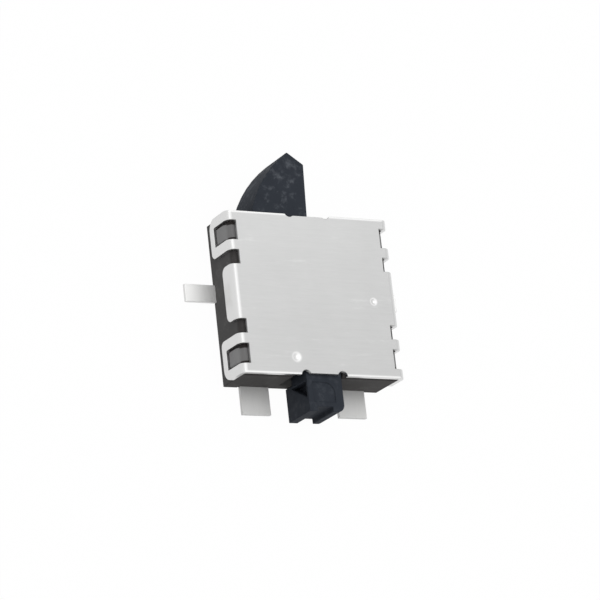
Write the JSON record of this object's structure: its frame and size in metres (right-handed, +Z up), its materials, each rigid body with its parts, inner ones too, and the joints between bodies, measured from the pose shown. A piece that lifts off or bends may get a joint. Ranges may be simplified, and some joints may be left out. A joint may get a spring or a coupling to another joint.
{
  "type": "surface-mount detector switch",
  "caption": "Low square switch with a folded sheet cover and a sliding cam fin that a passing part pushes in against a spring, for a circuit board.",
  "frame": {"origin": "on the board plane, under the middle of the cover", "axes": "+X to the right seen from above, +Y towards the fin, +Z up out of the board"},
  "size_m": [0.0072, 0.0081, 0.0016],
  "materials": {
    "base_plastic": "matt moulded dark grey",
    "cover_sheet": "satin rolled sheet",
    "slider_plastic": "matt moulded blue-grey",
    "spring_wire": "drawn wire",
    "contact_sheet": "silver plated",
    "terminal_plating": "satin tin or silver plated"
  },
  "bodies": {
    "housing": {"base": "base_plastic", "cover": "cover_sheet", "return_spring": "spring_wire", "terminal_side_left": "terminal_plating", "terminal_side_right": "terminal_plating", "terminal_front_left": "terminal_plating", "terminal_front_right": "terminal_plating"},
    "slider": {"slider": "slider_plastic", "wiper_left": "contact_sheet", "wiper_right": "contact_sheet"}
  },
  "joints": [
    {"name": "actuator_push", "type": "slide", "parent": "housing", "child": "slider", "axis": [0, -1, 0], "range_m": [0, 0.0017], "stiffness_N_per_m": 80, "springref_m": -0.0015, "deforming": ["return_spring"]}
  ]
}
